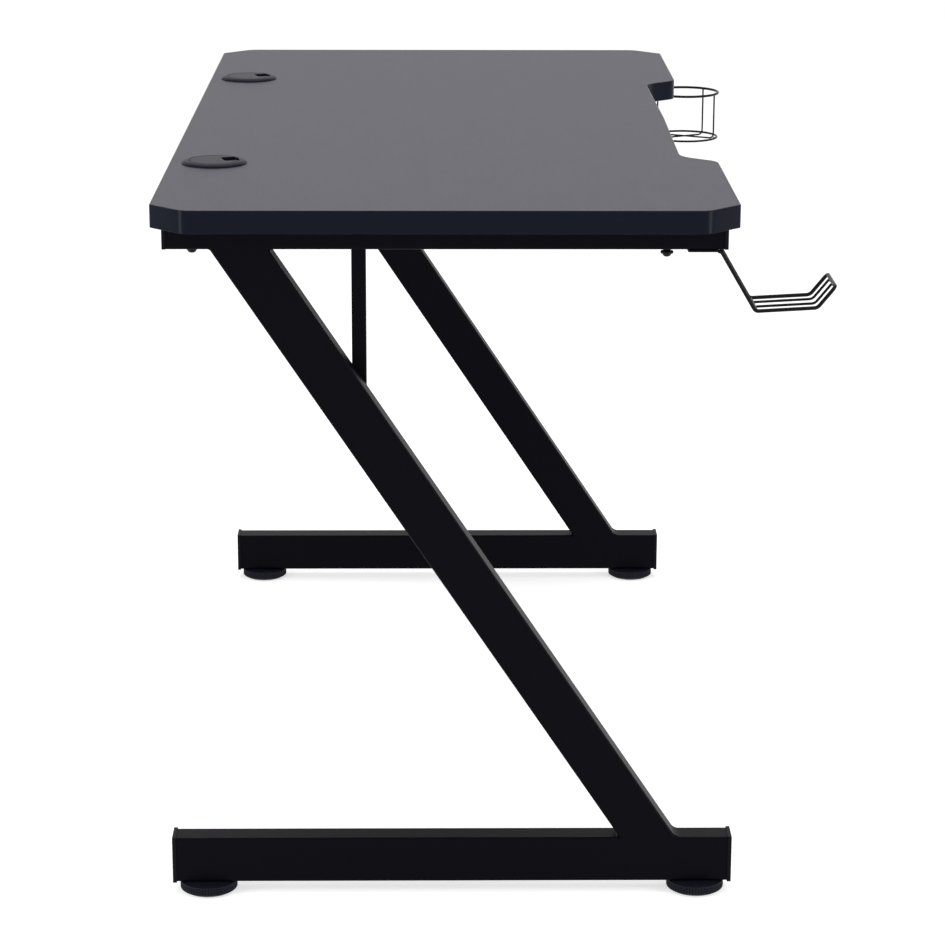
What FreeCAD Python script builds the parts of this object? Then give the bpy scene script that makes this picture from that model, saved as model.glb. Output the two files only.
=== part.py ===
import FreeCAD, Part
import math
import os

os.makedirs("parts", exist_ok=True)
V = FreeCAD.Vector
UP = V(0, 0, 1)

# Driving sizes in mm. X runs along the desk, -Y is the user's side, Z is up.

# Worktop
top_length = 1200.0
top_depth = 600.0
top_height = 750.0
top_thick = 24.0
band_thick = 2.0
corner_cut = 35.0
corner_end_round = 22.0
corner_side_round = 5.0
notch_mouth = 612.0
notch_run = 32.0
notch_depth = 39.0
notch_crown = 2.5
notch_outer_round = 22.0
notch_inner_round = 36.0

# End frames
frame_inset = 27.0
tube_wide = 30.0
tube_wall = 1.5
tube_round = 2.5
top_bar_tall = 21.0
top_bar_setback = 12.5
floor_bar_tall = 50.0
floor_bar_forward = 7.5
floor_bar_lift = 13.5
leg_deep = 50.0
leg_rear_inset = 48.0
leg_front_inset = 60.5

# End caps
top_cap_thick = 3.8
floor_cap_thick = 4.0
cap_proud = 1.0
cap_round = 1.5
plug_length = 10.0
plug_clear = 0.1

# Cross brace: a beam under the worktop and an upright at each leg
brace_tube = 15.0
brace_wall = 1.2
brace_round = 1.5
brace_from_rear = 211.0
upright_tail = 20.0
brace_bolt = 6.0
brace_bolt_head = 12.0
brace_bolt_head_tall = 3.5
brace_nut_flats = 10.0
brace_nut_tall = 5.0
bolt_end = 1.5
beam_screw = 4.0
beam_screw_head = 9.0
beam_screw_head_tall = 2.5
beam_screw_bite = 14.0
beam_screw_count = 3
beam_screw_end = 60.0

# Screws through the top bars into the worktop
bar_screw = 5.0
bar_screw_bite = 15.0
rear_screw_inset = 29.5
rear_screw_head = 11.0
rear_screw_head_tall = 5.5
front_screw_inset = 61.5
front_neck = 7.4
front_neck_tall = 3.8
front_flange = 13.4
front_flange_tall = 2.6
front_dome = 9.2
front_dome_tall = 3.3
hole_clear = 0.1
pan_wall_share = 0.4
pan_flat_share = 0.6

# Headphone hook
hook_reach = 100.0
accessory_width = 70.0
plate_thick = 2.5
plate_inset = 41.0
hook_plate_depth = 31.5
plate_round = 3.0
hook_wire = 4.0
hook_wire_edge = 3.0
hook_neck = 2.6
hook_tray_depth = 81.0
hook_drop = 62.1
hook_tray_length = 63.2
hook_tray_rise = 3.5
hook_tip_rise = 22.0
hook_neck_bend = 4.0
hook_corner_bend = 5.0
hook_tray_bend = 8.0
hook_tip_bend = 5.0
hook_inner_wire = 2.8
hook_inner_count = 2
hook_bar_setback = 1.5
weld_gap = 0.05

# Cup holder
cup_tab_reach = 17.0
cup_tab_gap = 2.0
cup_ring_radius = 45.0
cup_ring_wire = 3.3
cup_overlap = 7.0
cup_height = 61.0
cup_base_wire = 2.8
cup_cross_wire = 2.2
cup_cross_bend = 6.0
cup_upper_ends = (-113.0, 57.0)
cup_lower_ends = (-41.0, 100.0)

# Countersunk screws of the hook plate and the cup holder plate
plate_screw = 5.0
plate_screw_head = 9.5
plate_screw_cone = 2.4
plate_screw_length = 14.0
plate_screw_edge = 9.0

# Cable grommets
grommet_spacing = 640.0
grommet_from_rear = 49.0
grommet_hole = 60.0
grommet_fit = 0.2
grommet_flange = 71.0
grommet_flange_tall = 4.0
grommet_flange_round = 1.8
grommet_lip_round = 0.6
grommet_liner_wall = 2.3
grommet_liner_short = 2.0
grommet_ledge = 3.0
grommet_ledge_tall = 2.0
cover_thick = 2.8
cover_round = 0.8
cover_skirt_wall = 1.6
cover_skirt_tall = 7.0
cover_slot = 23.0
cover_slot_depth = 18.0
cover_slot_round = 4.0
cover_turn = -74.0
run_gap = 0.3

# Levelling feet
foot_inset = 37.5
foot_diameter = 62.0
foot_flange_tall = 0.9
foot_flange_round = 0.5
foot_flange_step = 0.3
foot_rib_top = 11.2
foot_rib_low = 3.2
foot_base = 50.5
foot_hub = 55.0
foot_bar_gap = 0.6
foot_teeth = 60
foot_tooth_depth = 1.2
stud_diameter = 8.0
stud_length = 44.0
stud_seat = 3.0
stud_running = 0.05
stud_end = 0.8
foot_nut_flats = 13.0
foot_nut_tall = 6.5

# Positions that follow from the sizes
half_length = top_length / 2
half_depth = top_depth / 2
notch_inner = notch_mouth - 2 * notch_run
board_under = top_height - top_thick
bar_under = board_under - top_bar_tall
floor_bar_top = floor_bar_lift + floor_bar_tall
frame_x = half_length - frame_inset - tube_wide / 2
frame_inner_x = frame_x - tube_wide / 2
frame_outer_x = frame_x + tube_wide / 2
front_edge = -half_depth
rear_edge = half_depth
top_bar_front = front_edge + top_bar_setback
top_bar_rear = rear_edge - top_bar_setback
floor_bar_front = front_edge - floor_bar_forward
floor_bar_rear = rear_edge - floor_bar_forward
plate_under = bar_under - plate_thick
plate_rear = top_bar_front + plate_inset
brace_y = rear_edge - brace_from_rear
rear_screw_y = top_bar_rear - rear_screw_inset
front_screw_y = top_bar_front + front_screw_inset
grommet_y = rear_edge - grommet_from_rear
foot_ys = {"front": floor_bar_front + foot_inset, "rear": floor_bar_rear - foot_inset}
sides = {"left": -1, "right": 1}

# The slanted leg touches two corner lines, and its tilt follows from them and its depth
leg_span = (top_bar_rear - leg_rear_inset) - (floor_bar_front + leg_front_inset)
leg_rise = bar_under - floor_bar_top
leg_tilt = math.acos(leg_deep / math.hypot(leg_span, leg_rise)) - math.atan2(leg_rise, leg_span)
leg_across = leg_deep / math.cos(leg_tilt)
leg_top_y = top_bar_rear - leg_rear_inset - leg_across / 2
leg_foot_y = floor_bar_front + leg_front_inset + leg_across / 2
upright_bolt_z = bar_under - (leg_top_y - brace_y) / math.tan(leg_tilt)

# The frame's origin is under the middle of the outer box, so the desk moves back by half the hook's reach
desk_shift = V(0, hook_reach / 2, 0)

nodes = {}


def unit(vector):
    """A copy of the vector with length 1."""
    return V(vector).normalize()


def rounded_loop(corners):
    """Closed wire in the XY plane through (x, y, radius) corners, each rounded by its radius."""
    count = len(corners)
    edges = []
    stops = []
    for index in range(count):
        x, y, radius = corners[index]
        corner = V(x, y, 0)
        before = unit(V(corners[index - 1][0], corners[index - 1][1], 0) - corner)
        follow = corners[(index + 1) % count]
        after = unit(V(follow[0], follow[1], 0) - corner)
        if radius <= 0:
            stops.append((corner, corner))
            continue
        half_angle = before.getAngle(after) / 2
        trim = radius / math.tan(half_angle)
        middle = corner + unit(before + after) * (radius / math.sin(half_angle) - radius)
        start = corner + before * trim
        end = corner + after * trim
        edges.append(Part.Arc(start, middle, end).toShape())
        stops.append((start, end))
    for index in range(count):
        leave = stops[index][1]
        arrive = stops[(index + 1) % count][0]
        if leave.distanceToPoint(arrive) > 1e-6:
            edges.append(Part.LineSegment(leave, arrive).toShape())
    return Part.Wire(Part.__sortEdges__(edges))


def inset_corners(corners, depth):
    """Counter-clockwise (x, y, radius) corners moved inward by depth, with their radii to match."""
    moved = []
    count = len(corners)
    for index in range(count):
        x, y, radius = corners[index]
        px, py, _ = corners[index - 1]
        nx, ny, _ = corners[(index + 1) % count]
        along_in = unit(V(x - px, y - py, 0))
        along_out = unit(V(nx - x, ny - y, 0))
        normal_in = V(-along_in.y, along_in.x, 0)
        normal_out = V(-along_out.y, along_out.x, 0)
        move = (normal_in + normal_out) * (depth / (1 + normal_in.dot(normal_out)))
        convex = along_in.cross(along_out).z > 0
        grown = max(radius - depth, 0) if convex else radius + depth
        moved.append((x + move.x, y + move.y, grown if radius > 0 else 0))
    return moved


def slab(corners, low, high):
    """Upright prism on rounded corners, from height low to height high."""
    face = Part.Face(rounded_loop(corners))
    face.translate(V(0, 0, low))
    return face.extrude(V(0, 0, high - low))


def rectangle(wide, deep, radius):
    """Corners of a centred rectangle, counter-clockwise."""
    x = wide / 2
    y = deep / 2
    return [(-x, -y, radius), (x, -y, radius), (x, y, radius), (-x, y, radius)]


def block(low, high):
    """Box between two corner points."""
    return Part.makeBox(high.x - low.x, high.y - low.y, high.z - low.z, low)


def rod(diameter, start, end):
    """Round bar between two points."""
    run = end - start
    return Part.makeCylinder(diameter / 2, run.Length, start, run)


def hex_prism(flats, low, axis, tall):
    """Hexagonal prism that stands on a point along an axis."""
    radius = flats / math.sqrt(3)
    corners = []
    for index in range(6):
        angle = math.radians(60 * index + 30)
        corners.append((radius * math.cos(angle), radius * math.sin(angle), 0))
    solid = slab(corners, 0, tall)
    solid.Placement = FreeCAD.Placement(low, FreeCAD.Rotation(UP, axis))
    return solid


def revolved(profile, centre):
    """Solid turned about the vertical line through centre from (radius, height[, rounding]) corners."""
    corners = [corner if len(corner) == 3 else corner + (0,) for corner in profile]
    face = Part.Face(rounded_loop(corners))
    face.rotate(V(0, 0, 0), V(1, 0, 0), 90)
    solid = face.revolve(V(0, 0, 0), UP, 360)
    solid.translate(centre)
    return solid


def square_tube(wide, deep, radius, wall, start, end, side):
    """Hollow tube from start to end; its width lies along the direction side."""
    run = end - start
    outer = rectangle(wide, deep, radius)
    solid = slab(outer, 0, run.Length).cut(slab(inset_corners(outer, wall), 0, run.Length))
    turn = FreeCAD.Rotation(side, run.cross(side), run, "ZXY")
    solid.Placement = FreeCAD.Placement(start, turn)
    return solid


def bent_wire(points, radii, diameter):
    """Round wire along points: straight rods, and a turned bend of the given radius at each inner point."""
    pieces = []
    leave = points[0]
    for index in range(1, len(points) - 1):
        corner = points[index]
        before = unit(points[index - 1] - corner)
        after = unit(points[index + 1] - corner)
        half_angle = before.getAngle(after) / 2
        radius = radii[index - 1]
        start = corner + before * (radius / math.tan(half_angle))
        centre = corner + unit(before + after) * (radius / math.sin(half_angle))
        section = Part.Face(Part.Wire(Part.makeCircle(diameter / 2, start, before)))
        turn = 180 - math.degrees(2 * half_angle)
        pieces.append(rod(diameter, leave, start))
        pieces.append(section.revolve(centre, after.cross(before), turn))
        leave = corner + after * (radius / math.tan(half_angle))
    pieces.append(rod(diameter, leave, points[-1]))
    return pieces[0].multiFuse(pieces[1:]).removeSplitter()


def pan_screw(centre, shank, bite, head, head_tall):
    """Upward screw with a rounded pan head below the point centre."""
    wall = head_tall * pan_wall_share
    profile = [(0, -head_tall), (pan_flat_share * head / 2, -head_tall), (head / 2, -wall), (head / 2, 0)]
    profile += [(shank / 2, 0), (shank / 2, bite - shank / 2), (0, bite)]
    return revolved(profile, centre)


def add(name, shape):
    """Keep a finished shape under its node name."""
    nodes[name] = shape


def through(solid, cutters):
    """The solid with every cutter taken out."""
    return solid.cut(Part.makeCompound(cutters))


# Worktop and edge band
outline = [
    (-half_length + corner_cut, front_edge, corner_side_round),
    (-notch_mouth / 2, front_edge, notch_outer_round),
    (-notch_inner / 2, front_edge + notch_depth, notch_inner_round),
    (0, front_edge + notch_depth - notch_crown, 0),
    (notch_inner / 2, front_edge + notch_depth, notch_inner_round),
    (notch_mouth / 2, front_edge, notch_outer_round),
    (half_length - corner_cut, front_edge, corner_side_round),
    (half_length, front_edge + corner_cut, corner_end_round),
    (half_length, rear_edge - corner_cut, corner_end_round),
    (half_length - corner_cut, rear_edge, corner_side_round),
    (-half_length + corner_cut, rear_edge, corner_side_round),
    (-half_length, rear_edge - corner_cut, corner_end_round),
    (-half_length, front_edge + corner_cut, corner_end_round),
]
board = slab(inset_corners(outline, band_thick), board_under, top_height)
band = slab(outline, board_under, top_height).cut(board)

grommet_centres = {side: V(sign * grommet_spacing / 2, grommet_y, top_height) for side, sign in sides.items()}
bar_screw_spots = {}
for side, sign in sides.items():
    bar_screw_spots[side] = {
        "rear": V(sign * frame_x, rear_screw_y, bar_under),
        "front": V(sign * frame_x, front_screw_y, bar_under),
    }
upright_x = frame_inner_x - brace_tube / 2
beam_end_x = frame_inner_x - brace_tube
beam_under = board_under - brace_tube
beam_screw_spots = []
for index in range(beam_screw_count):
    span = 2 * (beam_end_x - beam_screw_end)
    x = -span / 2 + span * index / (beam_screw_count - 1)
    beam_screw_spots.append(V(x, brace_y, beam_under))

board_holes = []
for centre in grommet_centres.values():
    board_holes.append(rod(grommet_hole, centre - UP * top_thick, centre))
screw_hole = bar_screw + 2 * hole_clear
beam_hole = beam_screw + 2 * hole_clear
for spots in bar_screw_spots.values():
    for spot in spots.values():
        foot_point = V(spot.x, spot.y, board_under)
        board_holes.append(rod(screw_hole, foot_point, foot_point + UP * bar_screw_bite))
for spot in beam_screw_spots:
    foot_point = V(spot.x, spot.y, board_under)
    board_holes.append(rod(beam_hole, foot_point, foot_point + UP * beam_screw_bite))
add("tabletop", through(board, board_holes))
add("edge_band", band)


def end_cap(centre, outward, wide, tall, thick, proud):
    """Cap on a tube end at centre: a flange outside, proud above and below, and a plug inside the tube."""
    flange = slab(rectangle(wide + 2 * cap_proud, tall + 2 * proud, cap_round), 0, thick)
    plug_corners = rectangle(wide, tall, tube_round)
    plug = slab(inset_corners(plug_corners, tube_wall + plug_clear), -plug_length, 0)
    cap = flange.fuse(plug).removeSplitter()
    turn = FreeCAD.Rotation(V(-outward, 0, 0), UP, V(0, outward, 0), "ZYX")
    cap.Placement = FreeCAD.Placement(centre, turn)
    return cap


# Hook plate and cup holder plate under the bars; the cup holder's has a tab beside the bar, to its ring
plate_front = plate_rear - hook_plate_depth
plate_inner_x = frame_outer_x - accessory_width
tab_x = frame_inner_x - cap_proud - cup_tab_gap
tab_front = plate_front - cup_tab_reach
hook_plate_corners = [
    (-frame_outer_x, plate_front, plate_round),
    (-plate_inner_x, plate_front, plate_round),
    (-plate_inner_x, plate_rear, plate_round),
    (-frame_outer_x, plate_rear, plate_round),
]
cup_plate_corners = [
    (plate_inner_x, tab_front, plate_round),
    (tab_x, tab_front, plate_round),
    (tab_x, plate_front, plate_round),
    (frame_outer_x, plate_front, plate_round),
    (frame_outer_x, plate_rear, plate_round),
    (plate_inner_x, plate_rear, plate_round),
]
plates = {
    "left": slab(hook_plate_corners, plate_under, bar_under),
    "right": slab(cup_plate_corners, plate_under, bar_under),
}
plate_screw_spots = {}
for side, sign in sides.items():
    plate_screw_spots[side] = [
        V(sign * frame_x, plate_rear - plate_screw_edge, plate_under),
        V(sign * frame_x, plate_front + plate_screw_edge, plate_under),
    ]


def countersunk(centre, ease):
    """Upward countersunk screw whose head is flush at centre, grown by ease for its hole."""
    head = plate_screw_head / 2 + ease
    shank = plate_screw / 2 + ease
    profile = [(0, 0), (head, 0), (shank, plate_screw_cone), (shank, plate_screw_length + ease)]
    profile.append((0, plate_screw_length + ease))
    return revolved(profile, centre)


# End frames: top bar, slanted leg and floor bar of each side
for side, sign in sides.items():
    x = sign * frame_x
    bar_z = board_under - top_bar_tall / 2
    tube_front = top_bar_front + top_cap_thick
    tube_rear = top_bar_rear - top_cap_thick
    start = V(x, tube_front, bar_z)
    end = V(x, tube_rear, bar_z)
    top_bar = square_tube(tube_wide, top_bar_tall, tube_round, tube_wall, start, end, V(1, 0, 0))
    cutters = []
    for spot in bar_screw_spots[side].values():
        cutters.append(rod(screw_hole, spot, V(spot.x, spot.y, board_under)))
    for spot in plate_screw_spots[side]:
        cutters.append(countersunk(spot, hole_clear))
    add(side + "_top_bar", through(top_bar, cutters))
    front_cap = end_cap(start, -1, tube_wide, top_bar_tall, top_cap_thick, 0)
    add(side + "_top_bar_front_cap", through(front_cap, cutters))
    add(side + "_top_bar_rear_cap", end_cap(end, 1, tube_wide, top_bar_tall, top_cap_thick, 0))

    bar_z = floor_bar_lift + floor_bar_tall / 2
    start = V(x, floor_bar_front + floor_cap_thick, bar_z)
    end = V(x, floor_bar_rear - floor_cap_thick, bar_z)
    floor_bar = square_tube(tube_wide, floor_bar_tall, tube_round, tube_wall, start, end, V(1, 0, 0))
    stud_hole = stud_diameter + 2 * run_gap
    cutters = []
    for y in foot_ys.values():
        cutters.append(rod(stud_hole, V(x, y, floor_bar_lift), V(x, y, floor_bar_lift + tube_wall)))
    add(side + "_floor_bar", through(floor_bar, cutters))
    for place, spot, outward in (("front", start, -1), ("rear", end, 1)):
        cap = end_cap(spot, outward, tube_wide, floor_bar_tall, floor_cap_thick, cap_proud)
        add(side + "_floor_bar_" + place + "_cap", cap)

    slope = unit(V(0, leg_top_y - leg_foot_y, leg_rise))
    start = V(x, leg_foot_y, floor_bar_top) - slope * leg_deep
    end = V(x, leg_top_y, bar_under) + slope * leg_deep
    long_leg = square_tube(tube_wide, leg_deep, tube_round, tube_wall, start, end, V(1, 0, 0))
    keep = block(V(x - tube_wide, -top_depth, floor_bar_top), V(x + tube_wide, top_depth, bar_under))
    inner_face = V(sign * frame_inner_x, brace_y, upright_bolt_z)
    nut_face = V(sign * (frame_inner_x + tube_wall), brace_y, upright_bolt_z)
    bolt_hole = brace_bolt + 2 * hole_clear
    add(side + "_leg", long_leg.common(keep).cut(rod(bolt_hole, inner_face, nut_face)))

# Cross brace
for side, sign in sides.items():
    start = V(sign * upright_x, brace_y, upright_bolt_z - upright_tail)
    end = V(sign * upright_x, brace_y, board_under)
    upright = square_tube(brace_tube, brace_tube, brace_round, brace_wall, start, end, V(1, 0, 0))
    near = V(sign * beam_end_x, brace_y, upright_bolt_z)
    far = V(sign * frame_inner_x, brace_y, upright_bolt_z)
    add(side + "_brace_upright", upright.cut(rod(brace_bolt + 2 * hole_clear, near, far)))

beam_z = board_under - brace_tube / 2
beam_start = V(-beam_end_x, brace_y, beam_z)
beam_stop = V(beam_end_x, brace_y, beam_z)
beam = square_tube(brace_tube, brace_tube, brace_round, brace_wall, beam_start, beam_stop, V(0, 1, 0))
beam_cutters = [rod(beam_hole, spot, V(spot.x, spot.y, board_under)) for spot in beam_screw_spots]
add("brace_beam", through(beam, beam_cutters))

beam_screws = []
for spot in beam_screw_spots:
    bite = brace_tube + beam_screw_bite - hole_clear
    beam_screws.append(pan_screw(spot, beam_screw, bite, beam_screw_head, beam_screw_head_tall))
add("beam_screws", Part.makeCompound(beam_screws))

brace_bolts = []
brace_nuts = []
for side, sign in sides.items():
    outward = V(sign, 0, 0)
    head_face = V(sign * beam_end_x, brace_y, upright_bolt_z)
    nut_face = V(sign * (frame_inner_x + tube_wall), brace_y, upright_bolt_z)
    shank_end = nut_face + outward * (brace_nut_tall + bolt_end)
    head = rod(brace_bolt_head, head_face - outward * brace_bolt_head_tall, head_face)
    brace_bolts.append(head.fuse(rod(brace_bolt, head_face, shank_end)).removeSplitter())
    nut = hex_prism(brace_nut_flats, nut_face, outward, brace_nut_tall)
    nut_bore = rod(brace_bolt + 2 * hole_clear, nut_face, nut_face + outward * brace_nut_tall)
    brace_nuts.append(nut.cut(nut_bore))
add("brace_bolts", Part.makeCompound(brace_bolts))
add("brace_nuts", Part.makeCompound(brace_nuts))

# Screws that hold the worktop to the top bars
rear_screws = []
front_screws = []
bite = top_bar_tall + bar_screw_bite - hole_clear
for spots in bar_screw_spots.values():
    rear_screws.append(pan_screw(spots["rear"], bar_screw, bite, rear_screw_head, rear_screw_head_tall))
    flange_top = -front_neck_tall
    flange_low = flange_top - front_flange_tall
    dome_low = flange_low - front_dome_tall
    profile = [
        (0, dome_low),
        (pan_flat_share * front_dome / 2, dome_low),
        (front_dome / 2, dome_low + front_dome_tall / 2),
        (front_dome / 2, flange_low),
        (front_flange / 2, flange_low),
        (front_flange / 2, flange_top),
        (front_neck / 2, flange_top),
        (front_neck / 2, 0),
        (bar_screw / 2, 0),
        (bar_screw / 2, bite - bar_screw / 2),
        (0, bite),
    ]
    front_screws.append(revolved(profile, spots["front"]))
add("top_bar_rear_screws", Part.makeCompound(rear_screws))
add("top_bar_front_screws", Part.makeCompound(front_screws))

# Plates of the hook and the cup holder, with their screws
plate_names = {"left": "hook", "right": "cup_holder"}
for side, name in plate_names.items():
    holes = [countersunk(spot, hole_clear) for spot in plate_screw_spots[side]]
    add(name + "_plate", through(plates[side], holes))
    add(name + "_screws", Part.makeCompound([countersunk(spot, 0) for spot in plate_screw_spots[side]]))

# Headphone hook: a loop of wire from the plate's front edge, a bar near the corner and inner wires
hook_z = bar_under - hook_wire / 2 - run_gap
hook_left_x = -frame_outer_x + hook_wire_edge
hook_right_x = -frame_outer_x + accessory_width - hook_wire_edge
tip_y = front_edge - hook_reach + hook_wire / 2
corner_y = tip_y + hook_tray_depth
bend_y = corner_y - hook_tray_length
corner_z = hook_z - hook_drop
bend_z = corner_z + hook_tray_rise
tip_z = bend_z + hook_tip_rise


def hook_side(x):
    """Points of one side of the hook's loop, from the plate to the tip."""
    return [
        V(x, plate_front - weld_gap, hook_z),
        V(x, plate_front - hook_neck, hook_z),
        V(x, corner_y, corner_z),
        V(x, bend_y, bend_z),
        V(x, tip_y, tip_z),
    ]


left_path = hook_side(hook_left_x)
right_path = hook_side(hook_right_x)
loop_points = left_path + right_path[::-1]
side_radii = [hook_neck_bend, hook_corner_bend, hook_tray_bend]
loop_radii = side_radii + [hook_tip_bend, hook_tip_bend] + side_radii[::-1]
add("hook_loop", bent_wire(loop_points, loop_radii, hook_wire))

tray_along = unit(V(0, bend_y - corner_y, bend_z - corner_z))
tip_along = unit(V(0, tip_y - bend_y, tip_z - bend_z))
bar_centre = V(0, corner_y, corner_z) + tray_along * hook_bar_setback
bar_left = V(hook_left_x + hook_wire / 2 + weld_gap, bar_centre.y, bar_centre.z)
bar_right = V(hook_right_x - hook_wire / 2 - weld_gap, bar_centre.y, bar_centre.z)
add("hook_corner_bar", rod(hook_inner_wire, bar_left, bar_right))

inner_step = (hook_right_x - hook_left_x) / (hook_inner_count + 1)
inner_wires = []
for index in range(hook_inner_count):
    x = hook_left_x + inner_step * (index + 1)
    start = V(x, bar_centre.y, bar_centre.z) + tray_along * (hook_inner_wire / 2 + weld_gap)
    stop = V(x, tip_y, tip_z) - tip_along * (hook_wire / 2 + weld_gap)
    inner_wires.append(bent_wire([start, V(x, bend_y, bend_z), stop], [hook_tray_bend], hook_inner_wire))
add("hook_inner_wires", Part.makeCompound(inner_wires))

# Cup holder: the top ring hangs under the plate's front, and two U wires inside the rings cross at the base
ring_y = tab_front + cup_overlap - cup_ring_radius
ring_centre = V(frame_outer_x - accessory_width / 2, ring_y, plate_under - cup_ring_wire / 2)
base_centre = ring_centre - UP * cup_height
cross_radius = cup_ring_radius - cup_ring_wire / 2 - weld_gap - cup_cross_wire / 2
base_radius = cross_radius + cup_cross_wire / 2 + weld_gap + cup_base_wire / 2
add("cup_holder_top_ring", Part.makeTorus(cup_ring_radius, cup_ring_wire / 2, ring_centre, UP))
add("cup_holder_base_ring", Part.makeTorus(base_radius, cup_base_wire / 2, base_centre, UP))
upper_drop = cup_height
lower_drop = upper_drop + cup_cross_wire + weld_gap
cross_wires = {"upper": (upper_drop, cup_upper_ends), "lower": (lower_drop, cup_lower_ends)}
for name, (drop, ends) in cross_wires.items():
    tops = []
    for angle in ends:
        away = V(math.cos(math.radians(angle)), math.sin(math.radians(angle)), 0)
        tops.append(ring_centre + away * cross_radius)
    points = [tops[0], tops[0] - UP * drop, tops[1] - UP * drop, tops[1]]
    add("cup_holder_" + name + "_wire", bent_wire(points, [cup_cross_bend, cup_cross_bend], cup_cross_wire))

# Cable grommets: a flanged liner in the board and a cover that turns in it, flush with the flange
liner_outer = grommet_hole / 2 - grommet_fit
liner_inner = liner_outer - grommet_liner_wall
ledge_inner = liner_inner - grommet_ledge
ledge_top = grommet_flange_tall - cover_thick - run_gap
ledge_low = ledge_top - grommet_ledge_tall
liner_low = -top_thick + grommet_liner_short
flange_outer = grommet_flange / 2
ring_profile = [
    (liner_inner, liner_low),
    (liner_outer, liner_low),
    (liner_outer, 0),
    (flange_outer, 0),
    (flange_outer, grommet_flange_tall, grommet_flange_round),
    (liner_inner, grommet_flange_tall, grommet_lip_round),
    (liner_inner, ledge_top),
    (ledge_inner, ledge_top),
    (ledge_inner, ledge_low),
    (liner_inner, ledge_low),
]
cover_outer = liner_inner - run_gap
cover_low = ledge_top + run_gap
cover_high = cover_low + cover_thick
skirt_outer = ledge_inner - run_gap
skirt_inner = skirt_outer - cover_skirt_wall
skirt_low = cover_low - cover_skirt_tall
cover_profile = [
    (0, cover_low),
    (skirt_inner, cover_low),
    (skirt_inner, skirt_low),
    (skirt_outer, skirt_low),
    (skirt_outer, cover_low),
    (cover_outer, cover_low),
    (cover_outer, cover_high, cover_round),
    (0, cover_high),
]
for side, centre in grommet_centres.items():
    add(side + "_grommet_ring", revolved(ring_profile, centre))
    cover = revolved(cover_profile, V(0, 0, 0))
    slot_start = cover_outer - cover_slot_depth
    slot_corners = [
        (slot_start, -cover_slot / 2, cover_slot_round),
        (grommet_flange, -cover_slot / 2, 0),
        (grommet_flange, cover_slot / 2, 0),
        (slot_start, cover_slot / 2, cover_slot_round),
    ]
    cover = cover.cut(slab(slot_corners, skirt_low, cover_high))
    cover.Placement = FreeCAD.Placement(centre, FreeCAD.Rotation(UP, cover_turn))
    add(side + "_grommet_cover", cover)

# Levelling feet: nut in the bar, stud through it, and on the stud a foot with a flange over a ribbed wall
foot_top = floor_bar_lift - foot_bar_gap
bore = stud_diameter / 2 + stud_running
foot_radius = foot_diameter / 2
foot_flange_top = foot_rib_top + foot_flange_tall
foot_rib_diameter = foot_diameter - 2 * foot_flange_step


def ribbed_loop(diameter, height):
    """Closed outline of the foot's ribs at a height, with the tips on the diameter."""
    points = []
    for index in range(2 * foot_teeth):
        share = 1 if index % 2 == 0 else 1 - foot_tooth_depth / foot_radius
        radius = share * diameter / 2
        angle = math.pi * index / foot_teeth
        points.append(V(radius * math.cos(angle), radius * math.sin(angle), height))
    return Part.makePolygon(points + points[:1])


ribbed_loops = [
    ribbed_loop(foot_base, 0),
    ribbed_loop(foot_rib_diameter, foot_rib_low),
    ribbed_loop(foot_rib_diameter, foot_rib_top),
]
ribbed_wall = Part.makeLoft(ribbed_loops, True, True)
flange_profile = [
    (0, foot_rib_top),
    (foot_radius, foot_rib_top),
    (foot_radius, foot_flange_top, foot_flange_round),
    (foot_hub / 2, foot_top),
    (0, foot_top),
]
foot_bore = rod(2 * bore, UP * stud_seat, UP * foot_top)
ribbed_foot = ribbed_wall.fuse(revolved(flange_profile, V(0, 0, 0))).cut(foot_bore)
stud_low = stud_seat + run_gap
stud_high = stud_low + stud_length
stud_radius = stud_diameter / 2
stud_profile = [
    (0, stud_low),
    (stud_radius, stud_low),
    (stud_radius, stud_high - stud_end),
    (stud_radius - stud_end, stud_high),
    (0, stud_high),
]
nut_low = floor_bar_lift + tube_wall
foot_nuts = []
for side, sign in sides.items():
    for place, y in foot_ys.items():
        spot = V(sign * frame_x, y, 0)
        foot = ribbed_foot.copy()
        foot.translate(spot)
        add(side + "_" + place + "_foot", foot)
        add(side + "_" + place + "_stud", revolved(stud_profile, spot))
        nut_base = spot + UP * nut_low
        nut = hex_prism(foot_nut_flats, nut_base, UP, foot_nut_tall)
        foot_nuts.append(nut.cut(rod(2 * bore, nut_base, nut_base + UP * foot_nut_tall)))
add("foot_nuts", Part.makeCompound(foot_nuts))

for name, shape in nodes.items():
    placed = shape.copy()
    placed.translate(desk_shift)
    placed.exportStep("parts/" + name + ".step")
    box = placed.BoundBox
    sizes = [round(value, 2) for value in (box.XMin, box.XMax, box.YMin, box.YMax, box.ZMin, box.ZMax)]
    print(name, len(placed.Solids), "solid, valid", placed.isValid(), "volume", round(placed.Volume), sizes)
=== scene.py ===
"""Looks of the gaming desk: finishes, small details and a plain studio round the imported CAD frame.

The CAD nodes keep their place and shape. What is added here is what is too fine for them: welds,
recesses in the screw heads, threads on the levelling studs, and softer edges on the edge band and
the grommets.
"""

from __future__ import annotations

import logging
import math
from dataclasses import dataclass
from enum import Enum

import bmesh
import bpy
from mathutils import Matrix, Vector

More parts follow.
